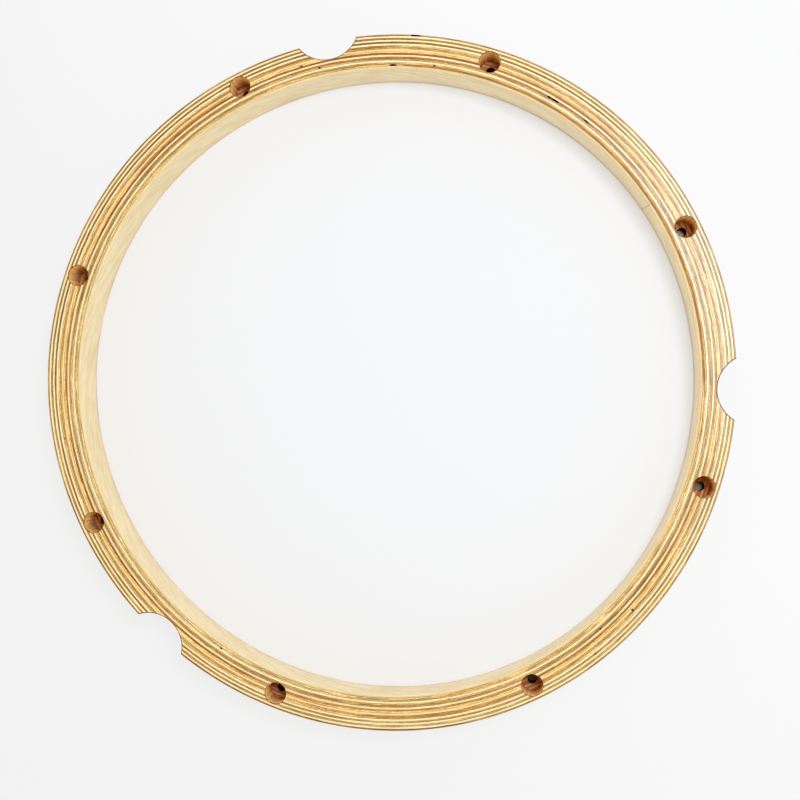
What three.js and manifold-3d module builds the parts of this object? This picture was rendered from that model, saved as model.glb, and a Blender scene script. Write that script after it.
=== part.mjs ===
// A laminated wood hoop for the resonant side of a 16-inch floor tom, lying on its underside.
//
// The hoop is eighteen thin veneers wound into a ring and glued. Long-grain veneers alternate
// with cross-grain ones, and towards the inside the cross-grain veneers come in glued pairs.
// Eight counterbored holes take the tension rods. Three round notches in the outer edge let
// the legs pass. The notches cut the outer layers, and a freshly cut hoop springs a little
// out of round, flatter beside the notches and fuller between them.
//
// Frame: millimetres, +Z up towards the counterbored face, origin at the centre of the
// rod-hole circle on the underside, -Y through the lone leg notch.

import * as THREE from 'three';
import { mergeVertices } from 'three/addons/utils/BufferGeometryUtils.js';
import Module from 'manifold-3d';

const wasm = await Module();
wasm.setup();

// Driving dimensions, in millimetres and degrees.
const outerRadius = 227.5;
const veneerThickness = 1.25;
const hoopHeight = 31.75;
const glueLine = 0.06;
const seamGap = 0.4;
const outerFaceSeamAngle = -32.4;

const rodHoleCount = 8;
const firstRodHoleAngle = 22.5;
const rodCircleRadius = 218;
const rodHoleRadius = 3.1;
const counterboreRadius = 7;
const counterboreDepth = 21;

const legNotchAngles = [-90, 39.3, 140.7];
const legNotchRadius = 22.5;
const legNotchDepth = 12;

// How far the relaxed hoop departs from a true circle.
const ovalDeviation = 0.8;
const ovalAngle = 157.5;
const lobeDeviation = 0.86;
const lobeAngle = 89.2;

// Fineness of the flat facets.
const facetCount = 80;
const rodHoleSides = 16;
const counterboreSides = 24;
const legNotchSides = 72;
const cutterOverrun = 2;

const woods = {
  outerFace: { color: 0xdcbf96, roughness: 0.62, metalness: 0 },
  cross: { color: 0xcfa168, roughness: 0.66, metalness: 0 },
  long: { color: 0xf8e0aa, roughness: 0.55, metalness: 0 },
  innerFace: { color: 0xeedfb9, roughness: 0.5, metalness: 0 },
};

const facetAngle = 360 / facetCount;
const rodHoleAngles = Array.from(
  { length: rodHoleCount },
  (_, i) => firstRodHoleAngle + (i * 360) / rodHoleCount,
);
const outerFaceParts = [...legNotchAngles, outerFaceSeamAngle];
const severingAngles = [...legNotchAngles, ...rodHoleAngles];

// The layers from the outer face to the inner face, each with the angles where it is parted:
// at the leg notches, at the rod holes, or at the seam where the ends of its strip butt.
const layup = [
  { name: 'cross_ply_1_outer_face', veneers: 1, grain: 'outerFace', partedAt: outerFaceParts },
  { name: 'long_ply_1', veneers: 1, grain: 'long', partedAt: legNotchAngles },
  { name: 'cross_ply_2', veneers: 1, grain: 'cross', partedAt: legNotchAngles },
  { name: 'long_ply_2', veneers: 1, grain: 'long', partedAt: legNotchAngles },
  { name: 'cross_ply_3', veneers: 1, grain: 'cross', partedAt: legNotchAngles },
  { name: 'long_ply_3', veneers: 1, grain: 'long', partedAt: legNotchAngles },
  { name: 'cross_ply_4', veneers: 2, grain: 'cross', partedAt: severingAngles },
  { name: 'long_ply_4', veneers: 1, grain: 'long', partedAt: severingAngles },
  { name: 'cross_ply_5', veneers: 2, grain: 'cross', partedAt: [4] },
  { name: 'long_ply_5', veneers: 1, grain: 'long', partedAt: [250] },
  { name: 'cross_ply_6', veneers: 2, grain: 'cross', partedAt: [99.6] },
  { name: 'long_ply_6', veneers: 1, grain: 'long', partedAt: [-80] },
  { name: 'cross_ply_7', veneers: 2, grain: 'cross', partedAt: [180] },
  { name: 'long_ply_7_inner_face', veneers: 1, grain: 'innerFace', partedAt: [74.5] },
];

const radians = THREE.MathUtils.degToRad;

// The hoop's departure from a true circle at an angle.
function deviation(angle) {
  const oval = ovalDeviation * Math.cos(2 * radians(angle - ovalAngle));
  const lobes = lobeDeviation * Math.cos(3 * radians(angle - lobeAngle));
  return oval + lobes;
}

// A point of the relaxed hoop, at the radius that it has in a true circle.
function hoopPoint(radius, angle) {
  const relaxed = radius + deviation(angle);
  return new THREE.Vector2(
    relaxed * Math.cos(radians(angle)),
    relaxed * Math.sin(radians(angle)),
  );
}

// The same point on the flat facets that all layers share, so that layers nest face to face.
function facetPoint(radius, angle) {
  const index = Math.floor(angle / facetAngle + 1e-9);
  const start = hoopPoint(radius, index * facetAngle);
  const end = hoopPoint(radius, (index + 1) * facetAngle);
  return start.lerp(end, angle / facetAngle - index);
}

function anglesBetween(startAngle, endAngle) {
  const angles = [startAngle];
  const first = Math.floor(startAngle / facetAngle + 1e-6) + 1;
  for (let i = first; i * facetAngle < endAngle - 1e-6; i += 1) {
    angles.push(i * facetAngle);
  }
  angles.push(endAngle);
  return angles;
}

// A bent strip of the full hoop height between two radii and two angles.
function strip(innerRadius, stripOuterRadius, startAngle, endAngle) {
  const angles = anglesBetween(startAngle, endAngle);
  const outside = angles.map((angle) => facetPoint(stripOuterRadius, angle));
  const inside = angles.map((angle) => facetPoint(innerRadius, angle)).reverse();
  const outline = new THREE.Shape([...outside, ...inside]);
  return new THREE.ExtrudeGeometry(outline, { depth: hoopHeight, bevelEnabled: false });
}

function solidFrom(geometry) {
  const bare = geometry.clone();
  bare.deleteAttribute('normal');
  bare.deleteAttribute('uv');
  const merged = mergeVertices(bare, 1e-5);
  const mesh = new wasm.Mesh({
    numProp: 3,
    vertProperties: new Float32Array(merged.attributes.position.array),
    triVerts: new Uint32Array(merged.index.array),
  });
  return new wasm.Manifold(mesh);
}

function geometryFrom(solid) {
  const mesh = solid.getMesh();
  const geometry = new THREE.BufferGeometry();
  geometry.setAttribute('position', new THREE.BufferAttribute(mesh.vertProperties, 3));
  geometry.setIndex(new THREE.BufferAttribute(mesh.triVerts, 1));
  geometry.computeVertexNormals();
  return geometry;
}

// An upright round cutter between two heights.
function cutter(radius, sides, centre, bottom, top) {
  const geometry = new THREE.CylinderGeometry(radius, radius, top - bottom, sides);
  geometry.rotateX(Math.PI / 2);
  geometry.translate(centre.x, centre.y, (top + bottom) / 2);
  return solidFrom(geometry);
}

function rodHoleCutter(angle) {
  const centre = hoopPoint(rodCircleRadius, angle);
  const top = hoopHeight + cutterOverrun;
  const seat = hoopHeight - counterboreDepth;
  const hole = cutter(rodHoleRadius, rodHoleSides, centre, -cutterOverrun, top);
  const counterbore = cutter(counterboreRadius, counterboreSides, centre, seat, top);
  return hole.add(counterbore);
}

function legNotchCutter(angle) {
  const centreRadius = outerRadius - legNotchDepth + legNotchRadius;
  const centre = hoopPoint(centreRadius, angle);
  const top = hoopHeight + cutterOverrun;
  return cutter(legNotchRadius, legNotchSides, centre, -cutterOverrun, top);
}

const cutters = [
  ...rodHoleAngles.map(rodHoleCutter),
  ...legNotchAngles.map(legNotchCutter),
];

function machined(geometry) {
  return geometryFrom(cutters.reduce((solid, tool) => solid.subtract(tool), solidFrom(geometry)));
}

// The start and end angles of the strips between the places where a layer is parted.
function stripSpans(partedAt) {
  const cuts = partedAt.map((angle) => (angle + 360) % 360).sort((a, b) => a - b);
  const halfGap = THREE.MathUtils.radToDeg(seamGap / 2 / outerRadius);
  return cuts.map((angle, i) => {
    const next = i + 1 < cuts.length ? cuts[i + 1] : cuts[0] + 360;
    return [angle + halfGap, next - halfGap];
  });
}

const hoop = new THREE.Group();
hoop.name = 'drum_hoop';
let layerOuterRadius = outerRadius;
layup.forEach((layer, position) => {
  const layerInnerRadius = layerOuterRadius - layer.veneers * veneerThickness;
  const outerGlue = position === 0 ? 0 : glueLine / 2;
  const innerGlue = position === layup.length - 1 ? 0 : glueLine / 2;
  const spans = stripSpans(layer.partedAt);
  spans.forEach(([startAngle, endAngle], i) => {
    const blank = strip(
      layerInnerRadius + innerGlue,
      layerOuterRadius - outerGlue,
      startAngle,
      endAngle,
    );
    const mesh = new THREE.Mesh(
      machined(blank),
      new THREE.MeshStandardMaterial(woods[layer.grain]),
    );
    mesh.name = spans.length > 1 ? `${layer.name}_arc_${i + 1}` : layer.name;
    hoop.add(mesh);
  });
  layerOuterRadius = layerInnerRadius;
});

export default hoop;
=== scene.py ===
"""A bare laminated wood drum hoop lying on a pale floor, counterbored side up.

Every glued layer of the CAD model is replaced by a fine mesh of the same layer: true curves in
place of flat facets, softened edges, drilled and routed walls, seams and small natural defects.
Lengths are in millimetres and angles in degrees until a mesh or an object is made.
"""

import math

import bmesh
import bpy
from mathutils import Matrix, Vector


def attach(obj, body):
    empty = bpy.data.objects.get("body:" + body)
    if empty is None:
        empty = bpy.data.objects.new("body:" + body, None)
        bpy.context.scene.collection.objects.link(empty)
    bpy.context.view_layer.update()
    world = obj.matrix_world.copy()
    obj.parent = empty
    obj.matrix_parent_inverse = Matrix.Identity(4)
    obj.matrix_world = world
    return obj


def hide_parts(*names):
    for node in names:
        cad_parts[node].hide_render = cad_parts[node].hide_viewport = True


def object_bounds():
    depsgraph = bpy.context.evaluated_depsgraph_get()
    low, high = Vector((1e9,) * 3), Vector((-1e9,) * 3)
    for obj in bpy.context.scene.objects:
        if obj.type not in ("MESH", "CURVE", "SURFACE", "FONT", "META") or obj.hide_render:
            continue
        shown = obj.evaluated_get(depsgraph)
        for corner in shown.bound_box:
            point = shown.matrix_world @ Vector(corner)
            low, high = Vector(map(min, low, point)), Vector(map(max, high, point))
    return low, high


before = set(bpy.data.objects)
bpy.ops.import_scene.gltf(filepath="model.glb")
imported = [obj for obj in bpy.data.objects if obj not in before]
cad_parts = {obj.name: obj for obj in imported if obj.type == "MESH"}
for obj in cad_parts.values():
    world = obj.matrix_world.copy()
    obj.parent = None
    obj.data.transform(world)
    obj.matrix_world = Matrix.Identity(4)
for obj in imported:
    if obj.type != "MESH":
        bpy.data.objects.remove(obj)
CAD_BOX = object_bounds()

MM = 0.001
HEIGHT = (CAD_BOX[1].z - CAD_BOX[0].z) / MM

# The hoop's driving dimensions, as in the CAD model.
OUTER_RADIUS = 227.5
VENEER = 1.25
VENEER_COUNT = 18
INNER_RADIUS = OUTER_RADIUS - VENEER_COUNT * VENEER
ROD_CIRCLE_RADIUS = 218
ROD_HOLE_RADIUS = 3.1
COUNTERBORE_RADIUS = 7
COUNTERBORE_DEPTH = 21
SEAT_HEIGHT = HEIGHT - COUNTERBORE_DEPTH
ROD_HOLE_COUNT = 8
FIRST_ROD_ANGLE = 22.5
ROD_ANGLES = [FIRST_ROD_ANGLE + 360 / ROD_HOLE_COUNT * i for i in range(ROD_HOLE_COUNT)]
NOTCH_ANGLES = [-90, 39.3, 140.7]
NOTCH_RADIUS = 22.5
NOTCH_DEPTH = 12
NOTCH_CENTRE_RADIUS = OUTER_RADIUS - NOTCH_DEPTH + NOTCH_RADIUS
OUTER_FACE_SEAM = -32.4
INNER_FACE_SEAM = 74.5
SEAM_LEAN = -1.1

# How far the relaxed hoop departs from a true circle.
OVAL_DEVIATION = 0.8
OVAL_ANGLE = 157.5
LOBE_DEVIATION = 0.86
LOBE_ANGLE = 89.2

# Fineness of the meshes.
SECTION_STEP = 0.5
ROUND_STEPS = 5
BEVEL_STEPS = 1
FLARE_STEPS = 4
VOID_STEPS = 14
ROD_HOLE_SIDES = 96
NOTCH_SIDES = 240
SMOOTH_ANGLE = 40

# Small workmanship.
GLUE_GAP = 0.05
SEAM_GAP = 0.12
VENEER_BEVEL = 0.06
SANDED_EDGE = 0.45
ROD_RIM_EDGE = 0.25
NOTCH_RIM_EDGE = 0.7
OVERRUN = 2

# The share of its sanded edge that a face takes in.
FACE_SHARE = 0.7


def deviation(angle):
    oval = OVAL_DEVIATION * math.cos(2 * math.radians(angle - OVAL_ANGLE))
    lobes = LOBE_DEVIATION * math.cos(3 * math.radians(angle - LOBE_ANGLE))
    return oval + lobes


def hoop_point(radius, angle, z):
    """A point of the relaxed hoop, in metres, at the radius that it has in a true circle."""
    relaxed = radius + deviation(angle)
    a = math.radians(angle)
    return Vector((relaxed * math.cos(a), relaxed * math.sin(a), z)) * MM


def nominal_place(point):
    """The true-circle radius, angle and height of a point given in metres."""
    angle = math.degrees(math.atan2(point.y, point.x))
    radius = math.hypot(point.x, point.y) / MM - deviation(angle)
    return radius, angle, point.z / MM


# ---------------------------------------------------------------- shapes


def mesh_object(name, bm):
    mesh = bpy.data.meshes.new(name)
    bmesh.ops.recalc_face_normals(bm, faces=bm.faces)
    bm.to_mesh(mesh)
    bm.free()
    made = bpy.data.objects.new(name, mesh)
    bpy.context.scene.collection.objects.link(made)
    return made


def skin(bm, sections):
    """Joins each section's corners to those of the next, and closes both ends."""
    for here, there in zip(sections, sections[1:]):
        for k in range(len(here)):
            m = (k + 1) % len(here)
            bm.faces.new((here[k], here[m], there[m], there[k]))
    bm.faces.new(sections[0])
    bm.faces.new(reversed(sections[-1]))


def sweep(bm, profile, start, end, slant):
    """Sweeps a closed (radius, height) profile round the hoop.

    The ends lean by the slant, in degrees between the underside and the top.
    """
    steps = max(2, math.ceil((end - start) / SECTION_STEP))
    sections = []
    for i in range(steps + 1):
        angle = start + (end - start) * i / steps
        section = []
        for radius, z in profile:
            lean = slant * (z / HEIGHT - 0.5)
            section.append(bm.verts.new(hoop_point(radius, angle + lean, z)))
        sections.append(section)
    skin(bm, sections)


def round_corner(centre, radius, start):
    """Points of a quarter circle that starts at an angle and turns anticlockwise."""
    steps = ROUND_STEPS if radius > VENEER_BEVEL else BEVEL_STEPS
    points = []
    for i in range(steps + 1):
        a = math.radians(start + 90 * i / steps)
        points.append((centre[0] + radius * math.cos(a), centre[1] + radius * math.sin(a)))
    return points


def veneer_profile(inner, outer, inner_edge, outer_edge):
    """The section of one veneer, anticlockwise, with its edges rounded by two radii."""
    return [
        *round_corner((inner + inner_edge, inner_edge), inner_edge, 180),
        *round_corner((outer - outer_edge, outer_edge), outer_edge, 270),
        *round_corner((outer - outer_edge, HEIGHT - outer_edge), outer_edge, 0),
        *round_corner((inner + inner_edge, HEIGHT - inner_edge), inner_edge, 90),
    ]


def lathe(bm, centre, profile, sides):
    """Turns a (radius, height) profile, whose first and last points are on the axis."""
    rings = []
    for radius, z in profile:
        if radius == 0:
            rings.append([bm.verts.new((centre.x, centre.y, z * MM))])
            continue
        ring = []
        for i in range(sides):
            a = 2 * math.pi * i / sides
            x = centre.x + radius * MM * math.cos(a)
            y = centre.y + radius * MM * math.sin(a)
            ring.append(bm.verts.new((x, y, z * MM)))
        rings.append(ring)
    for low, high in zip(rings, rings[1:]):
        for i in range(sides):
            j = (i + 1) % sides
            corners = [low[i % len(low)], low[j % len(low)]]
            corners += [high[j % len(high)], high[i % len(high)]]
            bm.faces.new(list(dict.fromkeys(corners)))


def flare(radius, edge, z, upward):
    """Profile points that open a bore by a rounded edge as it meets a face."""
    points = []
    for i in range(FLARE_STEPS + 1):
        a = math.radians(90 * i / FLARE_STEPS)
        rise = edge * math.sin(a)
        out = edge * (1 - math.cos(a))
        points.append((radius + out, z - edge + rise if upward else z + edge - rise))
    return points if upward else points[::-1]


def rod_hole_cutter(angle):
    bm = bmesh.new()
    profile = [
        (0, -OVERRUN),
        (ROD_HOLE_RADIUS + ROD_RIM_EDGE, -OVERRUN),
        *flare(ROD_HOLE_RADIUS, ROD_RIM_EDGE, 0, upward=False),
        *flare(ROD_HOLE_RADIUS, ROD_RIM_EDGE, SEAT_HEIGHT, upward=True),
        (COUNTERBORE_RADIUS, SEAT_HEIGHT),
        *flare(COUNTERBORE_RADIUS, ROD_RIM_EDGE, HEIGHT, upward=True),
        (COUNTERBORE_RADIUS + ROD_RIM_EDGE, HEIGHT + OVERRUN),
        (0, HEIGHT + OVERRUN),
    ]
    lathe(bm, hoop_point(ROD_CIRCLE_RADIUS, angle, 0), profile, ROD_HOLE_SIDES)
    return mesh_object("rod_hole_cutter", bm)


def notch_cutter(angle):
    bm = bmesh.new()
    profile = [
        (0, -OVERRUN),
        (NOTCH_RADIUS + NOTCH_RIM_EDGE, -OVERRUN),
        *flare(NOTCH_RADIUS, NOTCH_RIM_EDGE, 0, upward=False),
        *flare(NOTCH_RADIUS, NOTCH_RIM_EDGE, HEIGHT, upward=True),
        (NOTCH_RADIUS + NOTCH_RIM_EDGE, HEIGHT + OVERRUN),
        (0, HEIGHT + OVERRUN),
    ]
    lathe(bm, hoop_point(NOTCH_CENTRE_RADIUS, angle, 0), profile, NOTCH_SIDES)
    return mesh_object("notch_cutter", bm)


def void_cutter(start, end, inner, outer, depth):
    """A cutter that opens a gap in the top of a layer, widest half way along and blunt-ended."""
    bm = bmesh.new()
    sections = []
    middle = (inner + outer) / 2
    for i in range(VOID_STEPS + 1):
        angle = start + (end - start) * i / VOID_STEPS
        swell = math.sin(math.pi * (0.06 + 0.88 * i / VOID_STEPS)) ** 0.4
        half = (outer - inner) / 2 * swell
        floor = HEIGHT - depth * swell
        corners = [(middle - half, floor), (middle + half, floor)]
        corners += [(middle + half, HEIGHT + 1), (middle - half, HEIGHT + 1)]
        sections.append([bm.verts.new(hoop_point(r, angle, z)) for r, z in corners])
    skin(bm, sections)
    return mesh_object("void_cutter", bm)


def cut_mesh(solid, cutters):
    """The mesh of a solid with the cutters taken away."""
    for cutter in cutters:
        modifier = solid.modifiers.new("cut", "BOOLEAN")
        modifier.operation = "DIFFERENCE"
        modifier.solver = "MANIFOLD"
        modifier.object = cutter
    bpy.context.view_layer.update()
    evaluated = solid.evaluated_get(bpy.context.evaluated_depsgraph_get())
    mesh = bpy.data.meshes.new_from_object(evaluated)
    solid.modifiers.clear()
    return mesh


# ---------------------------------------------------------------- materials


def linear(red, green, blue):
    """A colour given as 8-bit sRGB, for a shader."""

    def channel(value):
        v = value / 255
        return v / 12.92 if v <= 0.04045 else ((v + 0.055) / 1.055) ** 2.4

    return (channel(red), channel(green), channel(blue), 1)


def darkened(colour, factors):
    return tuple(c * k for c, k in zip(colour, factors)) + (1,)


# The dark and pale tints of a sanded edge's grain, which multiply the wood's own colour.
CROSS_DRIFT = ((0.8, 0.75, 0.66, 1), (1.14, 1.18, 1.25, 1))
CROSS_BANDS = ((0.66, 0.55, 0.4, 1), (1.18, 1.22, 1.32, 1))
CROSS_FLECKS = ((0.64, 0.53, 0.38, 1), (1.14, 1.16, 1.2, 1))
CROSS_PORES = ((0.72, 0.62, 0.46, 1), (1.18, 1.2, 1.26, 1))
LONG_DRIFT = ((0.93, 0.88, 0.78, 1), (1.02, 1.03, 1.06, 1))
LONG_FIBRES = ((0.84, 0.72, 0.52, 1), (1.02, 1.02, 1.03, 1))

# Where veneers wander into each other, and the dark lines between them.
STRAY_LONG_GRAIN = linear(246, 218, 162)
STRAY_CROSS_GRAIN = linear(196, 152, 86)
CROSS_GRAIN_LINE = linear(100, 50, 10)
LONG_GRAIN_LINE = linear(150, 98, 46)

# What drilling and routing leave on a wall. Deep in a rod hole, part of the darkness is painted
# shade.
BORE_SCORCH_AND_SHADE = linear(40, 18, 10)
RING_SCORCH = linear(150, 84, 42)
STREAK_SCORCH = linear(110, 54, 26)
RIM_SCORCH = linear(140, 58, 14)
DRILLED_GLUE = linear(80, 38, 20)
ROUTER_SCORCH = linear(84, 48, 18)
ROUTED_GLUE = linear(84, 52, 26)

# What shows on the inner and outer faces, and inside a gap, whose near-black tones are painted
# shade.
FACE_PORE = linear(150, 108, 66)
FOOT_DARKENING = linear(186, 156, 128)
BUTT_JOINT = linear(130, 86, 46)
GAP_SHADE_TONES = (linear(5, 3, 2), linear(20, 10, 6))

# The length up a wall of the grain of a sanded edge, which hardly changes with height.
TALL = 90

# How far the boundaries of veneers wander, and the widths of the dark lines on them.
WANDER = 1.3
CROSS_LINE_WIDTH = 0.44
LONG_LINE_WIDTH = 0.2

# How softly a stretch of darker or lighter wood ends, in degrees.
STRETCH_FADE = 2.5

DRILLED_ROUGHNESS = 0.6
ROUTED_ROUGHNESS = 0.5
FACE_ROUGHNESS = 0.4
MARK_ROUGHNESS = 0.9


class Shader:
    """A small helper that writes a procedural material node by node."""

    def __init__(self, name, roughness):
        self.roughness = roughness
        self.material = bpy.data.materials.new(name)
        self.material.use_nodes = True
        self.tree = self.material.node_tree
        self.surface = self.tree.nodes["Principled BSDF"]
        self.surface.inputs["Roughness"].default_value = roughness
        self.surface.inputs["IOR"].default_value = 1.5

    def add(self, kind, inputs=None, **settings):
        node = self.tree.nodes.new(kind)
        for key, value in settings.items():
            setattr(node, key, value)
        for key, value in (inputs or {}).items():
            self.feed(node.inputs[key], value)
        return node

    def feed(self, socket, value):
        if isinstance(value, bpy.types.NodeSocket):
            self.tree.links.new(value, socket)
        else:
            socket.default_value = value

    def math(self, operation, a, b=0.0, clamp=False):
        node = self.add("ShaderNodeMath", {0: a, 1: b}, operation=operation, use_clamp=clamp)
        return node.outputs[0]

    def ramp(self, value, low, high, to_low=0.0, to_high=1.0):
        """Maps low..high smoothly onto to_low..to_high, and holds the ends."""
        node = self.add(
            "ShaderNodeMapRange",
            {
                "Value": value,
                "From Min": low,
                "From Max": high,
                "To Min": to_low,
                "To Max": to_high,
            },
            interpolation_type="SMOOTHSTEP",
        )
        return node.outputs["Result"]

    def mix(self, factor, a, b, blend="MIX"):
        node = self.add("ShaderNodeMix", data_type="RGBA", blend_type=blend)
        self.feed(node.inputs["Factor"], factor)
        colour_sockets = [s for s in node.inputs if s.type == "RGBA"]
        self.feed(colour_sockets[0], a)
        self.feed(colour_sockets[1], b)
        return next(s for s in node.outputs if s.type == "RGBA")

    def coordinates(self):
        node = self.add("ShaderNodeGroup")
        node.node_tree = hoop_coordinates()
        return node.outputs

    def noise(
        self, place, along, across, upward, detail=3, roughness=0.55, radius=None, height=None
    ):
        """Noise whose grain has these lengths: along the hoop, across its layers and up a wall.

        The grain's radius and height are the point's own unless they are given.
        """
        round_part = self.add(
            "ShaderNodeVectorMath", {0: place["Round"], 1: (1 / along,) * 3}, operation="MULTIPLY"
        )
        parts = self.add("ShaderNodeSeparateXYZ", {0: round_part.outputs[0]})
        depth = self.math("DIVIDE", place["Radius"] if radius is None else radius, across)
        vector = self.add(
            "ShaderNodeCombineXYZ", {0: parts.outputs[0], 1: parts.outputs[1], 2: depth}
        )
        level = self.math("DIVIDE", place["Height"] if height is None else height, upward)
        node = self.add(
            "ShaderNodeTexNoise",
            {
                "Vector": vector.outputs[0],
                "W": level,
                "Scale": 1,
                "Detail": detail,
                "Roughness": roughness,
            },
            noise_dimensions="4D",
        )
        return node.outputs["Fac"]

    def shade(self, tone, grain, low, high, tints, strength):
        """Tints a tone from dark to pale as a grain value goes from low to high."""
        tint = self.mix(self.ramp(grain, low, high), *tints)
        return self.mix(strength, tone, tint, "MULTIPLY")

    def finish(self, colour, bump=None, depth=0.0):
        """Feeds the colour, and a bump of a depth in millimetres, and returns the material."""
        self.feed(self.surface.inputs["Base Color"], colour)
        if bump is not None:
            node = self.add("ShaderNodeBump", {"Height": bump, "Distance": depth * MM})
            self.feed(self.surface.inputs["Normal"], node.outputs[0])
        return self.material


def hoop_coordinates():
    """A node group that gives a point's place in the hoop: along, across and up, in millimetres."""
    name = "hoop_coordinates"
    if name in bpy.data.node_groups:
        return bpy.data.node_groups[name]
    tree = bpy.data.node_groups.new(name, "ShaderNodeTree")
    for label, kind in (
        ("Round", "NodeSocketVector"),
        ("Radius", "NodeSocketFloat"),
        ("Angle", "NodeSocketFloat"),
        ("Height", "NodeSocketFloat"),
    ):
        tree.interface.new_socket(label, in_out="OUTPUT", socket_type=kind)

    def node(kind, *inputs, **settings):
        made = tree.nodes.new(kind)
        for key, value in settings.items():
            setattr(made, key, value)
        for i, value in enumerate(inputs):
            if isinstance(value, bpy.types.NodeSocket):
                tree.links.new(value, made.inputs[i])
            else:
                made.inputs[i].default_value = value
        return made

    def calculate(operation, *inputs):
        return node("ShaderNodeMath", *inputs, operation=operation).outputs[0]

    def wave(size, turns, at):
        turned = calculate("MULTIPLY", calculate("SUBTRACT", angle, at), math.radians(turns))
        return calculate("MULTIPLY", calculate("COSINE", turned), size)

    position = node("ShaderNodeTexCoord").outputs["Object"]
    parts = node("ShaderNodeSeparateXYZ", position).outputs
    flat = node("ShaderNodeCombineXYZ", parts[0], parts[1], 0.0).outputs[0]
    direction = node("ShaderNodeVectorMath", flat, operation="NORMALIZE").outputs[0]
    around = node(
        "ShaderNodeVectorMath", direction, (OUTER_RADIUS,) * 3, operation="MULTIPLY"
    ).outputs[0]
    length = node("ShaderNodeVectorMath", flat, operation="LENGTH").outputs["Value"]
    turn = calculate("ARCTAN2", parts[1], parts[0])
    angle = calculate("MULTIPLY", turn, math.degrees(1))
    stretch = calculate(
        "ADD", wave(OVAL_DEVIATION, 2, OVAL_ANGLE), wave(LOBE_DEVIATION, 3, LOBE_ANGLE)
    )
    radius = calculate("SUBTRACT", calculate("DIVIDE", length, MM), stretch)
    height = calculate("DIVIDE", parts[2], MM)
    output = tree.nodes.new("NodeGroupOutput")
    for socket, value in zip(output.inputs, (around, radius, angle, height)):
        tree.links.new(value, socket)
    return tree


def stretch(shader, place, start, end, soft):
    """1 along a stretch of the hoop between two angles, and 0 away from it."""
    middle = (start + end) / 2
    half = (end - start) / 2
    turned = shader.math("SUBTRACT", place["Angle"], middle)
    cosine = shader.math("COSINE", shader.math("MULTIPLY", turned, math.radians(1)))
    outside = math.cos(math.radians(half + soft))
    inside = math.cos(math.radians(max(0.0, half - soft)))
    return shader.ramp(cosine, outside, inside)


def spot(shader, place, angle, radius, length, width):
    """1 inside a small oval on the hoop's top, and 0 outside it. Sizes are in millimetres."""
    turned = shader.math("SUBTRACT", place["Angle"], angle)
    along = shader.math("MULTIPLY", turned, math.radians(1) * radius / (length / 2))
    across = shader.math("DIVIDE", shader.math("SUBTRACT", place["Radius"], radius), width / 2)
    squares = shader.math("ADD", shader.math("POWER", along, 2), shader.math("POWER", across, 2))
    return shader.ramp(squares, 0.5, 1.5, 1.0, 0.0)


def add_spots(shader, place, tone, spots):
    """Paints small matt marks over a tone."""
    roughness = shader.roughness
    for angle, radius, length, width, colour in spots:
        here = spot(shader, place, angle, radius, length, width)
        tone = shader.mix(here, tone, linear(*colour))
        matt = shader.math("MULTIPLY", here, MARK_ROUGHNESS - shader.roughness)
        roughness = shader.math("ADD", matt, roughness)
    if spots:
        shader.feed(shader.surface.inputs["Roughness"], roughness)
    return tone


def boundary(shader, place):
    """The nearest boundary of two veneers, which wanders a little along the sanded edge.

    Returns 1 where the wandering puts a point in the neighbouring veneer, the distance to the
    wandering boundary in millimetres, and the radius of the boundary.
    """
    depth = shader.math("SUBTRACT", OUTER_RADIUS, place["Radius"])
    index = shader.math("ROUND", shader.math("DIVIDE", depth, VENEER))
    level = shader.math("MULTIPLY", index, VENEER)
    past = shader.math("SUBTRACT", depth, level)
    wander = shader.noise(
        place, along=9, across=1, upward=TALL, detail=4, roughness=0.6, radius=level
    )
    shift = shader.math("MULTIPLY", shader.math("SUBTRACT", wander, 0.5), WANDER)
    sanded = shader.math("SUBTRACT", past, shift)
    crossed = shader.math("LESS_THAN", shader.math("MULTIPLY", past, sanded), 0.0)
    return crossed, shader.math("ABSOLUTE", sanded), level


def dark_lines(shader, place, distance, level, width):
    """Thin dark lines that come and go along the boundaries of the veneers."""
    presence = shader.noise(place, along=26, across=1, upward=TALL, detail=3, radius=level)
    line = shader.ramp(distance, 0.0, width, 1.0, 0.0)
    return shader.math("MULTIPLY", line, shader.ramp(presence, 0.42, 0.5))


def edge_tone(shader, place, outer_radius, colours, stretches):
    """The tone of a layer's sanded edge: a colour for each veneer, and stretches that differ."""
    inner_veneer = shader.math("LESS_THAN", place["Radius"], outer_radius - VENEER)
    tone = shader.mix(inner_veneer, linear(*colours[0]), linear(*colours[-1]))
    for veneer, start, end, colour in stretches:
        here = stretch(shader, place, start, end, STRETCH_FADE)
        if len(colours) == 2:
            in_veneer = inner_veneer
            if veneer == 1:
                in_veneer = shader.math("SUBTRACT", 1.0, inner_veneer)
            here = shader.math("MULTIPLY", here, in_veneer)
        tone = shader.mix(here, tone, linear(*colour))
    return tone


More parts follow.
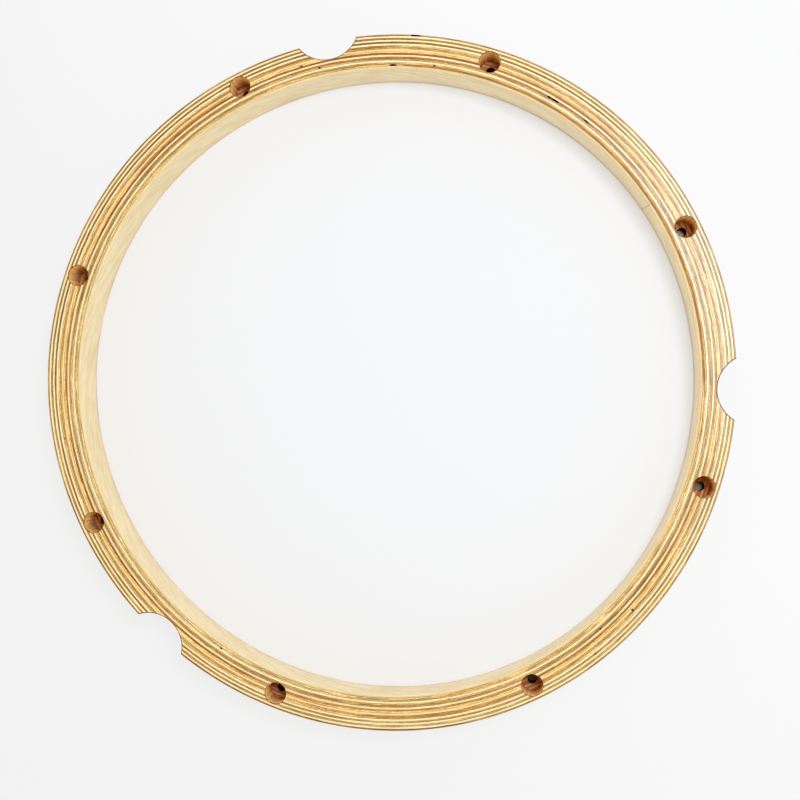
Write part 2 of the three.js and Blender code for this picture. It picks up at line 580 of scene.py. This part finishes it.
def cross_grain_edge(name, roughness, outer_radius, colours, stretches, spots):
    """The sanded end grain of the veneers whose fibres stand upright."""
    shader = Shader(name, roughness)
    place = shader.coordinates()
    tone = edge_tone(shader, place, outer_radius, colours, stretches)
    drift = shader.noise(place, along=24, across=1.6, upward=TALL, detail=3)
    bands = shader.noise(place, along=11, across=0.34, upward=TALL, detail=4, roughness=0.6)
    flecks = shader.noise(place, along=2.6, across=0.26, upward=TALL, detail=3, roughness=0.65)
    pores = shader.noise(place, along=0.9, across=0.3, upward=TALL, detail=2)
    tone = shader.shade(tone, drift, 0.36, 0.62, CROSS_DRIFT, 0.85)
    tone = shader.shade(tone, bands, 0.36, 0.6, CROSS_BANDS, 0.8)
    tone = shader.shade(tone, flecks, 0.36, 0.6, CROSS_FLECKS, 0.75)
    tone = shader.shade(tone, pores, 0.38, 0.62, CROSS_PORES, 0.6)
    crossed, distance, level = boundary(shader, place)
    if len(colours) == 2:
        # Only the sides of a pair have pale neighbours.
        middle = shader.math("SUBTRACT", place["Radius"], outer_radius - VENEER)
        at_sides = shader.math("GREATER_THAN", shader.math("ABSOLUTE", middle), VENEER / 2)
        crossed = shader.math("MULTIPLY", crossed, at_sides)
    tone = shader.mix(shader.math("MULTIPLY", crossed, 0.85), tone, STRAY_LONG_GRAIN)
    lines = dark_lines(shader, place, distance, level, CROSS_LINE_WIDTH)
    tone = shader.mix(shader.math("MULTIPLY", lines, 0.66), tone, CROSS_GRAIN_LINE)
    tone = add_spots(shader, place, tone, spots)
    return shader.finish(tone, flecks, depth=0.03)


def long_grain_edge(name, roughness, colour, spots):
    """The sanded edge of a veneer whose fibres run round the hoop."""
    shader = Shader(name, roughness)
    place = shader.coordinates()
    drift = shader.noise(place, along=50, across=2, upward=TALL, detail=2)
    fibres = shader.noise(place, along=20, across=0.22, upward=TALL, detail=4, roughness=0.6)
    tone = shader.shade(linear(*colour), drift, 0.35, 0.65, LONG_DRIFT, 0.8)
    tone = shader.shade(tone, fibres, 0.3, 0.52, LONG_FIBRES, 0.75)
    crossed, distance, level = boundary(shader, place)
    tone = shader.mix(shader.math("MULTIPLY", crossed, 0.8), tone, STRAY_CROSS_GRAIN)
    lines = dark_lines(shader, place, distance, level, LONG_LINE_WIDTH)
    tone = shader.mix(shader.math("MULTIPLY", lines, 0.5), tone, LONG_GRAIN_LINE)
    tone = add_spots(shader, place, tone, spots)
    return shader.finish(tone, fibres, depth=0.02)


def glue_lines(shader, place, width):
    """1 on the glue line between two veneers, and 0 away from it."""
    depth = shader.math("SUBTRACT", OUTER_RADIUS, place["Radius"])
    veneers = shader.math("DIVIDE", depth, VENEER)
    offset = shader.math("PINGPONG", veneers, 0.5)
    return shader.ramp(offset, 0.0, width / VENEER, 1.0, 0.0)


def drilled_wall(name, fresh, brown, scorched_and_shaded):
    """The wall and seat of a rod hole, darker the deeper down: partly scorch, partly painted shade.

    The colours are those near the top, half way down and at the seat.
    """
    shader = Shader(name, DRILLED_ROUGHNESS)
    shader.surface.inputs["Specular IOR Level"].default_value = 0
    place = shader.coordinates()
    smears = shader.noise(place, along=2.4, across=1.4, upward=9, detail=4)
    streaks = shader.noise(place, along=5, across=0.5, upward=9, detail=4, roughness=0.65)
    rings = shader.noise(place, along=9, across=9, upward=0.6, detail=3)
    uneven = shader.math("MULTIPLY", shader.math("SUBTRACT", smears, 0.5), 22)
    height = shader.math("ADD", place["Height"], uneven)
    warm = shader.ramp(height, HEIGHT - 9, HEIGHT - 1, 1.0, 0.0)
    deep = shader.ramp(height, SEAT_HEIGHT - 3, HEIGHT - 8, 1.0, 0.0)
    bore = shader.ramp(place["Height"], SEAT_HEIGHT - 1.5, SEAT_HEIGHT - 0.5, 1.0, 0.0)
    ragged = shader.math("MULTIPLY", shader.math("SUBTRACT", smears, 0.5), 6)
    rim = shader.ramp(shader.math("ADD", place["Height"], ragged), HEIGHT - 2, HEIGHT - 0.6)
    # Darker with depth, and near black in the bore below the seat: partly scorch, partly painted
    # shade.
    tone = shader.mix(shader.math("MULTIPLY", warm, 0.9), linear(*fresh), linear(*brown))
    tone = shader.mix(shader.math("MULTIPLY", deep, 0.85), tone, linear(*scorched_and_shaded))
    tone = shader.mix(shader.math("MULTIPLY", bore, 0.9), tone, BORE_SCORCH_AND_SHADE)
    tone = shader.mix(shader.ramp(rings, 0.52, 0.7, 0.0, 0.25), tone, RING_SCORCH)
    tone = shader.mix(shader.ramp(streaks, 0.5, 0.66, 0.0, 0.32), tone, STREAK_SCORCH)
    tone = shader.mix(shader.math("MULTIPLY", rim, 0.9), tone, RIM_SCORCH)
    glue = shader.math("MULTIPLY", glue_lines(shader, place, 0.14), 0.3)
    tone = shader.mix(glue, tone, DRILLED_GLUE)
    return shader.finish(tone, rings, depth=0.08)


def routed_wall(name, colour):
    """The wall of a leg notch, with the faint upright chatter of the cutter."""
    shader = Shader(name, ROUTED_ROUGHNESS)
    place = shader.coordinates()
    chatter = shader.noise(place, along=0.8, across=0.8, upward=45, detail=2)
    fibres = shader.noise(place, along=3, across=0.6, upward=5, detail=4)
    top = shader.ramp(place["Height"], HEIGHT - 1.2, HEIGHT - 0.2)
    foot = shader.ramp(place["Height"], 0.0, 0.8, 1.0, 0.0)
    scorch = shader.math("MULTIPLY", shader.math("ADD", top, foot), 0.85, clamp=True)
    deep = darkened(colour, (0.7, 0.6, 0.5))
    tone = shader.mix(shader.ramp(fibres, 0.4, 0.75, 0.0, 0.7), colour, deep)
    tone = shader.mix(shader.ramp(chatter, 0.5, 0.8, 0.0, 0.3), tone, deep)
    tone = shader.mix(scorch, tone, ROUTER_SCORCH)
    glue = shader.math("MULTIPLY", glue_lines(shader, place, 0.08), 0.6)
    tone = shader.mix(glue, tone, ROUTED_GLUE)
    return shader.finish(tone, chatter, depth=0.05)


def face_veneer(name, colour, along, upward, slope, seam, lean, figure):
    """A sanded face veneer, with the butt joint of its two ends.

    Its fibres are this long round the hoop and up the wall, in millimetres, and rise by the
    slope. The seam is the joint's angle, and it leans between the underside and the top.
    """
    shader = Shader(name, FACE_ROUGHNESS)
    place = shader.coordinates()
    middle = shader.math("SUBTRACT", shader.math("DIVIDE", place["Height"], HEIGHT), 0.5)
    leaning = shader.math("SUBTRACT", place["Angle"], shader.math("MULTIPLY", middle, lean))
    turned = shader.math("FLOORED_MODULO", shader.math("SUBTRACT", leaning, seam), 360.0)
    arc = shader.math("MULTIPLY", turned, math.radians(1) * OUTER_RADIUS)
    height = shader.math("SUBTRACT", place["Height"], shader.math("MULTIPLY", arc, slope))
    fibres = shader.noise(
        place, along=along, across=30, upward=upward, detail=5, roughness=0.62, height=height
    )
    pores = shader.noise(
        place, along=along / 6, across=30, upward=upward / 6, detail=2, height=height
    )
    bands = shader.noise(
        place, along=along * 3, across=60, upward=upward * 3, detail=3, height=height
    )
    clouds = shader.noise(place, along=22, across=60, upward=16, detail=2)
    deep = darkened(colour, (0.8, 0.7, 0.54))
    tone = shader.mix(shader.ramp(fibres, 0.42, 0.66, 0.0, figure), colour, deep)
    tone = shader.mix(shader.ramp(bands, 0.42, 0.64, 0.0, figure), tone, deep)
    tone = shader.mix(shader.ramp(clouds, 0.45, 0.75, 0.0, figure * 0.7), tone, deep)
    tone = shader.mix(shader.ramp(pores, 0.66, 0.78, 0.0, 0.35), tone, FACE_PORE)
    # Darker towards the foot of the face, in patches.
    foot_patches = shader.noise(place, along=14, across=60, upward=3, detail=3)
    foot = shader.ramp(place["Height"], 0.4, 4.0, 0.5, 0.0)
    foot = shader.math("MULTIPLY", foot, shader.ramp(foot_patches, 0.3, 0.6, 0.4, 1.0))
    tone = shader.mix(foot, tone, FOOT_DARKENING)
    beside = shader.math("PINGPONG", turned, 180.0)
    joint = shader.ramp(beside, 0.04, 0.12, 0.5, 0.0)
    tone = shader.mix(joint, tone, BUTT_JOINT)
    return shader.finish(tone, fibres, depth=0.02)


def painted_shade_gap(name):
    """The inside of a gap where a bit of veneer is missing, near black and rough: painted shade."""
    shader = Shader(name, 1.0)
    shader.surface.inputs["Specular IOR Level"].default_value = 0
    place = shader.coordinates()
    rough = shader.noise(place, along=0.4, across=0.4, upward=0.6, detail=3)
    tone = shader.mix(shader.ramp(rough, 0.35, 0.65), *GAP_SHADE_TONES)
    return shader.finish(tone, rough, depth=0.1)


# ---------------------------------------------------------------- the layers

# The top is sanded smooth by machine, and its inner edge is then eased by hand, which is duller.
MACHINE_SANDED_EDGE = 0.32
MATT_EDGE = 0.6
HAND_SANDED = ["cross_ply_7", "long_ply_7_inner_face"]

# The colours of drilled walls near the top, half way down and at the seat. They darken downwards:
# partly scorch, partly painted shade.
DRILLED_LONG = ((255, 228, 168), (255, 222, 150), (232, 162, 112))
DRILLED_CROSS = ((255, 214, 136), (255, 198, 116), (160, 92, 54))

ROUTED_LONG = linear(232, 202, 150)
ROUTED_CROSS = linear(190, 142, 84)

OUTER_FACE = {
    "colour": linear(222, 190, 142),
    "along": 0.9,
    "upward": 26,
    "slope": 0,
    "seam": OUTER_FACE_SEAM,
    "lean": 0,
    "figure": 0.5,
}
INNER_FACE = {
    "colour": linear(244, 226, 180),
    "along": 8,
    "upward": 0.8,
    "slope": 0.3,
    "seam": INNER_FACE_SEAM,
    "lean": SEAM_LEAN,
    "figure": 0.55,
}

SEVERED = NOTCH_ANGLES + ROD_ANGLES

# Outer face to inner face: name, grain, the colour of each veneer's sanded edge, and where the
# layer is parted, by a notch, a rod hole or the seam where its own two ends butt.
LAYERS = [
    ("cross_ply_1_outer_face", "cross", [(188, 150, 84)], NOTCH_ANGLES + [OUTER_FACE_SEAM]),
    ("long_ply_1", "long", [(255, 234, 180)], NOTCH_ANGLES),
    ("cross_ply_2", "cross", [(190, 150, 66)], NOTCH_ANGLES),
    ("long_ply_2", "long", [(255, 236, 182)], NOTCH_ANGLES),
    ("cross_ply_3", "cross", [(172, 126, 42)], NOTCH_ANGLES),
    ("long_ply_3", "long", [(255, 238, 186)], NOTCH_ANGLES),
    ("cross_ply_4", "cross", [(244, 204, 128), (219, 170, 86)], SEVERED),
    ("long_ply_4", "long", [(255, 223, 162)], SEVERED),
    ("cross_ply_5", "cross", [(255, 212, 126), (188, 136, 52)], [4]),
    ("long_ply_5", "long", [(255, 232, 180)], [250]),
    ("cross_ply_6", "cross", [(202, 157, 83), (220, 178, 102)], [99.6]),
    ("long_ply_6", "long", [(255, 241, 192)], [-80]),
    ("cross_ply_7", "cross", [(230, 192, 114), (243, 198, 116)], [180]),
    ("long_ply_7_inner_face", "long", [(228, 198, 136)], [INNER_FACE_SEAM]),
]

# Stretches where a veneer's wood is darker or lighter: the veneer, which is 1 for the outer or
# only one of a layer and 2 for the inner one, the start and end angles, and the colour. The lighter
# stretches from about 24 to 88 degrees are painted sheen, where the lamp's gloss falls.
STRETCHES = {
    "cross_ply_1_outer_face": [
        (1, -120, -95.5, (148, 106, 52)),
        (1, -85, OUTER_FACE_SEAM - 2.5, (154, 110, 54)),
        (1, 127, 135.5, (160, 120, 66)),
        (1, 146, 154, (160, 120, 66)),
        (1, 166, 190, (150, 114, 62)),
        (1, -170, -122, (188, 155, 94)),
    ],
    "cross_ply_2": [
        (1, 125, 215, (172, 134, 62)),
        (1, -60, 20, (208, 172, 100)),
        # Lighter where the lamp's gloss falls: painted sheen.
        (1, 26, 86, (204, 174, 84)),
    ],
    "cross_ply_3": [
        (1, 128, 222, (156, 114, 44)),
        (1, -82, 20, (196, 156, 84)),
        # Lighter where the lamp's gloss falls: painted sheen.
        (1, 26, 88, (198, 164, 76)),
    ],
    "cross_ply_4": [
        (1, -50, -20, (200, 154, 84)),
        (1, -6, 40, (234, 198, 128)),
        # Lighter where the lamp's gloss falls: painted sheen.
        (2, 28, 84, (222, 180, 92)),
        (1, 130, 158, (202, 150, 74)),
        (2, 162, 180, (198, 148, 70)),
    ],
    "cross_ply_5": [
        (1, 160, 182, (218, 160, 80)),
        (2, 112, 196, (166, 110, 42)),
        (2, -125, -95, (166, 110, 46)),
        (2, -72, -20, (204, 154, 82)),
        # Lighter where the lamp's gloss falls: painted sheen.
        (2, 28, 86, (210, 168, 80)),
    ],
    "cross_ply_6": [
        (1, 84, 182, (186, 134, 60)),
        (1, -12, 10, (180, 132, 66)),
        # Lighter where the lamp's gloss falls: painted sheen.
        (1, 24, 80, (212, 176, 98)),
        (2, -140, -112, (236, 204, 136)),
        (2, 178, 212, (188, 148, 78)),
    ],
    "cross_ply_7": [
        (1, 10, 40, (232, 200, 134)),
        (1, 128, 180, (206, 164, 88)),
        (2, -170, -38, (240, 210, 134)),
        (2, 40, 127, (188, 128, 48)),
    ],
}

# Small marks: angle, radius, length, width and colour. The brown ones are natural marks; the
# near-black ones stand for small pits and holes, and their darkness is painted shade.
SPOTS = {
    "cross_ply_3": [(-10.8, 222.0, 2.6, 0.8, (104, 64, 18))],
    "cross_ply_4": [
        (-128.3, 219.1, 1.9, 0.6, (40, 16, 2)),
        (-1.4, 217.8, 1.4, 0.9, (10, 2, 0)),
    ],
    "long_ply_4": [(-1.4, 217.2, 1.4, 0.9, (10, 2, 0))],
    "cross_ply_5": [(146.0, 215.1, 2.4, 1.2, (100, 40, 4))],
    "cross_ply_6": [
        (92.6, 211.9, 4.2, 1.3, (78, 22, 2)),
        (142.9, 211.0, 1.8, 1.3, (14, 2, 0)),
        (-7.5, 212.1, 1.5, 1.4, (76, 26, 2)),
        (-5.2, 212.3, 15.0, 0.5, (124, 62, 22)),
    ],
    "long_ply_6": [(-36.8, 209.9, 1.9, 0.6, (110, 60, 20))],
    "cross_ply_7": [
        (-79.7, 208.3, 1.9, 1.2, (24, 6, 0)),
        (121.9, 208.2, 1.6, 1.2, (26, 8, 0)),
        (129.4, 206.8, 5.0, 1.5, (96, 32, 4)),
        (129.5, 206.7, 2.6, 1.1, (16, 2, 0)),
    ],
}

# Gaps where a bit of veneer is missing: start and end angles, inner and outer radii, depth.
VOIDS = {
    "cross_ply_1_outer_face": [(125.0, 126.6, 226.3, 227.36, 4)],
    "long_ply_4": [(-1.58, -1.22, 216.75, 217.46, 3)],
    "cross_ply_6": [
        (98.55, 99.87, 211.25, 212.47, 5),
        (99.95, 100.8, 211.28, 212.45, 4.5),
    ],
}


def spans(parted_at):
    """The start and end angles of the strips between the places where a layer is parted."""
    cuts = sorted(angle % 360 for angle in parted_at)
    half_gap = math.degrees(SEAM_GAP / 2 / OUTER_RADIUS)
    following = cuts[1:] + [cuts[0] + 360]
    return [(here + half_gap, there - half_gap) for here, there in zip(cuts, following)]


def from_axis(point, radius, angle):
    """How far a point given in metres is from an upright axis of the hoop, in millimetres."""
    axis = hoop_point(radius, angle, 0)
    return math.hypot(point.x - axis.x, point.y - axis.y) / MM


def in_void(radius, turn, z, void):
    """Whether a place is on the side or the floor of a gap, give or take a hair."""
    start, end, inner, outer, depth = void
    along = start - 0.02 < turn < end + 0.02
    across = inner - 0.05 < radius < outer + 0.05
    return along and across and HEIGHT - depth - 0.1 < z < HEIGHT - 0.02


def kind_of_face(polygon, mesh, voids, is_outer, is_inner):
    """Which of a layer's materials a face takes."""
    corners = [mesh.vertices[v].co for v in polygon.vertices]
    centre = sum(corners, Vector()) / len(corners)
    radius, turn, z = nominal_place(centre)
    if any(in_void(radius, turn, z, void) for void in voids):
        return "void"
    reach = COUNTERBORE_RADIUS if z > SEAT_HEIGHT - 0.01 else ROD_HOLE_RADIUS
    for angle in ROD_ANGLES:
        if from_axis(centre, ROD_CIRCLE_RADIUS, angle) < reach + ROD_RIM_EDGE:
            return "drilled"
    for angle in NOTCH_ANGLES:
        if from_axis(centre, NOTCH_CENTRE_RADIUS, angle) < NOTCH_RADIUS + NOTCH_RIM_EDGE:
            return "routed"
    if is_outer and radius > OUTER_RADIUS - FACE_SHARE * SANDED_EDGE:
        return "face"
    if is_inner and radius < INNER_RADIUS + FACE_SHARE * SANDED_EDGE:
        return "face"
    return "edge"


def layer_materials(name, grain, colours, outer_radius, is_outer, is_inner):
    """A layer's materials, by the kind of face that takes each."""
    spots = SPOTS.get(name, [])
    stretches = STRETCHES.get(name, [])
    roughness = MATT_EDGE if name in HAND_SANDED else MACHINE_SANDED_EDGE
    if grain == "cross":
        made = {
            "edge": cross_grain_edge(
                name + "_edge", roughness, outer_radius, colours, stretches, spots
            ),
            "drilled": drilled_wall(name + "_drilled", *DRILLED_CROSS),
            "routed": routed_wall(name + "_routed", ROUTED_CROSS),
        }
    else:
        made = {
            "edge": long_grain_edge(name + "_edge", roughness, colours[0], spots),
            "drilled": drilled_wall(name + "_drilled", *DRILLED_LONG),
            "routed": routed_wall(name + "_routed", ROUTED_LONG),
        }
    if is_outer:
        made["face"] = face_veneer(name + "_face", **OUTER_FACE)
    if is_inner:
        made["face"] = face_veneer(name + "_face", **INNER_FACE)
    if name in VOIDS:
        made["void"] = painted_shade_gap(name + "_void")
    return made


def build_piece(name, veneers, outer_radius, start, end, cutters, is_outer, is_inner):
    """One strip of a layer, with each of its veneers as a closed sheet."""
    bm = bmesh.new()
    slant = SEAM_LEAN if is_inner else 0
    for i in range(veneers):
        outer = outer_radius - i * VENEER
        inner = outer - VENEER
        profile = veneer_profile(
            inner + (0 if is_inner else GLUE_GAP / 2),
            outer - (0 if is_outer else GLUE_GAP / 2),
            SANDED_EDGE if is_inner else VENEER_BEVEL,
            SANDED_EDGE if is_outer else VENEER_BEVEL,
        )
        sweep(bm, profile, start, end, slant)
    blank = mesh_object(name + "_blank", bm)
    mesh = cut_mesh(blank, cutters)
    mesh.name = name + "_fine"
    bpy.data.objects.remove(blank)
    piece = bpy.data.objects.new(name + "_fine", mesh)
    bpy.context.scene.collection.objects.link(piece)
    return piece


def finish_surface(piece, materials, voids, is_outer, is_inner):
    """Gives each face of a piece its material, and smooths the curved ones."""
    mesh = piece.data
    kinds = list(materials)
    mesh.materials.clear()
    for kind in kinds:
        mesh.materials.append(materials[kind])
    for polygon in mesh.polygons:
        kind = kind_of_face(polygon, mesh, voids, is_outer, is_inner)
        polygon.material_index = kinds.index(kind)
        polygon.use_smooth = True
    mesh.set_sharp_from_angle(angle=math.radians(SMOOTH_ANGLE))


def build_layers():
    """Builds every layer's strips in place of the CAD model's."""
    cutters = [rod_hole_cutter(angle) for angle in ROD_ANGLES]
    cutters += [notch_cutter(angle) for angle in NOTCH_ANGLES]
    outer_radius = OUTER_RADIUS
    for position, (name, grain, colours, parted_at) in enumerate(LAYERS):
        is_outer = position == 0
        is_inner = position == len(LAYERS) - 1
        veneers = len(colours)
        voids = VOIDS.get(name, [])
        materials = layer_materials(name, grain, colours, outer_radius, is_outer, is_inner)
        tools = cutters + [void_cutter(*void) for void in voids]
        strips = spans(parted_at)
        for i, (start, end) in enumerate(strips):
            node = f"{name}_arc_{i + 1}" if len(strips) > 1 else name
            piece = build_piece(
                node, veneers, outer_radius, start, end, tools, is_outer, is_inner
            )
            finish_surface(piece, materials, voids, is_outer, is_inner)
            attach(piece, "root")
            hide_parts(node)
        for cutter in tools[len(cutters) :]:
            bpy.data.objects.remove(cutter)
        outer_radius -= veneers * VENEER
    for cutter in cutters:
        bpy.data.objects.remove(cutter)


build_layers()

# ---------------------------------------------------------------- floor, light and camera


# Lengths from here on are in metres.

# The strength of the sky near the horizon and overhead, and where it changes, from 0 at the
# horizon to 1 overhead.
SKY = 0.84
OVERHEAD_SKY = 0.1
OVERHEAD_START = 0.86
OVERHEAD_END = 0.96

LAMP_PLACE = (0.118, 0.398, 1.1)
LAMP_SIZE = 0.4
LAMP_ENERGY = 7.6
LAMP_COLOUR = (0.88, 0.94, 1.06)
SHEEN_ENERGY = 7
SHEEN_COLOUR = (0.3, 0.53, 0.88)

# The floor's own colour inside the hoop, under it and outside it. It glows faintly where the
# hoop doesn't cover it, and outside the hoop the glow grows towards the lamp. This glow is painted
# light, which, with the dark own colour outside, fills in the hoop's shadow.
FLOOR_SIZE = 28
FLOOR_DROP = 0.0001
FLOOR_ROUGHNESS = 0.9
FLOOR_SPECULAR = 0.1
FLOOR_INSIDE = (0.43, 0.425, 0.415, 1)
FLOOR_UNDER = (0.9, 0.82, 0.8, 1)
FLOOR_OUTSIDE = (0.112, 0.11, 0.108, 1)
FLOOR_PAINTED_LIGHT = 0.43
OUTSIDE_PAINTED_LIGHT = (0.775, 0.835)
OUTSIDE_PAINTED_LIGHT_RISE = 0.13

CAMERA_PLACE = (0.100951, 0.034025, 0.808547)
CAMERA_LOOK = (-0.105903, -0.047303, -0.99325)
CAMERA_RIGHT = (0.745868, 0.656815, -0.1108)
CAMERA_LENS = 53.94


def in_notches(shader, position):
    """1 on the floor inside a notch, and 0 elsewhere."""
    inside = 0.0
    reach = NOTCH_RADIUS * MM
    for angle in NOTCH_ANGLES:
        axis = hoop_point(NOTCH_CENTRE_RADIUS, angle, 0)
        span = shader.add("ShaderNodeVectorMath", {0: position, 1: axis}, operation="DISTANCE")
        here = shader.ramp(span.outputs["Value"], reach - MM / 2, reach + MM / 2, 1.0, 0.0)
        inside = shader.math("MAXIMUM", inside, here)
    return inside


def floor_material():
    """A white table that glows faintly as painted light, except where the hoop covers it."""
    shader = Shader("white_floor", FLOOR_ROUGHNESS)
    shader.surface.inputs["Specular IOR Level"].default_value = FLOOR_SPECULAR
    place = shader.coordinates()
    position = shader.add("ShaderNodeTexCoord").outputs["Object"]
    beyond = shader.ramp(place["Radius"], OUTER_RADIUS, OUTER_RADIUS + 1)
    outside = shader.math("MAXIMUM", beyond, in_notches(shader, position))
    half = VENEER_COUNT / 2 * VENEER
    away = shader.math("ABSOLUTE", shader.math("SUBTRACT", place["Radius"], OUTER_RADIUS - half))
    uncovered = shader.math("MAXIMUM", shader.ramp(away, half, half + 1), outside)
    tone = shader.mix(uncovered, FLOOR_UNDER, FLOOR_INSIDE)
    tone = shader.mix(outside, tone, FLOOR_OUTSIDE)
    # Painted light: the glow fills in the hoop's shadow, and outside the hoop it grows towards the
    # lamp.
    painted_light = shader.math("MULTIPLY", uncovered, FLOOR_PAINTED_LIGHT)
    toward = shader.add(
        "ShaderNodeVectorMath", {0: position, 1: LAMP_PLACE}, operation="DOT_PRODUCT"
    )
    outside_painted_light = shader.ramp(
        toward.outputs["Value"], -OUTSIDE_PAINTED_LIGHT_RISE, OUTSIDE_PAINTED_LIGHT_RISE, *OUTSIDE_PAINTED_LIGHT
    )
    more = shader.math("SUBTRACT", outside_painted_light, FLOOR_PAINTED_LIGHT)
    painted_light = shader.math("ADD", painted_light, shader.math("MULTIPLY", outside, more))
    shader.surface.inputs["Emission Color"].default_value = (1, 1, 1, 1)
    shader.feed(shader.surface.inputs["Emission Strength"], painted_light)
    return shader.finish(tone)


def make_floor():
    bm = bmesh.new()
    half = FLOOR_SIZE / 2
    corners = [(-half, -half, 0), (half, -half, 0), (half, half, 0), (-half, half, 0)]
    bm.faces.new([bm.verts.new(corner) for corner in corners])
    floor = mesh_object("floor", bm)
    floor.location.z = CAD_BOX[0].z - FLOOR_DROP
    floor.data.materials.append(floor_material())


def make_lamp(name, colour, energy):
    """A round lamp that faces the hoop's centre."""
    data = bpy.data.lights.new(name, "AREA")
    data.shape = "DISK"
    data.size = LAMP_SIZE
    data.color = colour
    data.energy = energy
    lamp = bpy.data.objects.new(name, data)
    lamp.location = LAMP_PLACE
    lamp.rotation_euler = (-lamp.location).to_track_quat("-Z", "Y").to_euler()
    bpy.context.scene.collection.objects.link(lamp)
    return lamp


def make_light():
    """A pale room that is dark overhead, a lamp beside that, and the bluish sheen of a window."""
    world = bpy.data.worlds.new("studio")
    world.use_nodes = True
    nodes = world.node_tree.nodes
    links = world.node_tree.links
    sky = nodes["Background"]
    sky.inputs["Color"].default_value = (1, 1, 1, 1)
    direction = nodes.new("ShaderNodeSeparateXYZ")
    links.new(nodes.new("ShaderNodeTexCoord").outputs["Generated"], direction.inputs[0])
    overhead = nodes.new("ShaderNodeMapRange")
    overhead.interpolation_type = "SMOOTHSTEP"
    settings = {
        "From Min": OVERHEAD_START,
        "From Max": OVERHEAD_END,
        "To Min": SKY,
        "To Max": OVERHEAD_SKY,
    }
    for name, value in settings.items():
        overhead.inputs[name].default_value = value
    links.new(direction.outputs["Z"], overhead.inputs["Value"])
    links.new(overhead.outputs["Result"], sky.inputs["Strength"])
    bpy.context.scene.world = world
    lamp = make_lamp("ceiling_lamp", LAMP_COLOUR, LAMP_ENERGY)
    lamp.visible_glossy = False
    window = make_lamp("window", SHEEN_COLOUR, SHEEN_ENERGY)
    window.visible_diffuse = False


def make_camera():
    data = bpy.data.cameras.new("camera")
    data.sensor_width = 36
    data.lens = CAMERA_LENS
    data.clip_start = 0.01
    data.clip_end = 100
    camera = bpy.data.objects.new("camera", data)
    look = Vector(CAMERA_LOOK).normalized()
    right = Vector(CAMERA_RIGHT)
    right = (right - look * right.dot(look)).normalized()
    up = right.cross(look)
    turn = Matrix((right, up, -look)).transposed().to_4x4()
    camera.matrix_world = Matrix.Translation(CAMERA_PLACE) @ turn
    bpy.context.scene.collection.objects.link(camera)
    bpy.context.scene.camera = camera


make_floor()
make_light()
make_camera()
bpy.context.scene.view_settings.view_transform = "Standard"
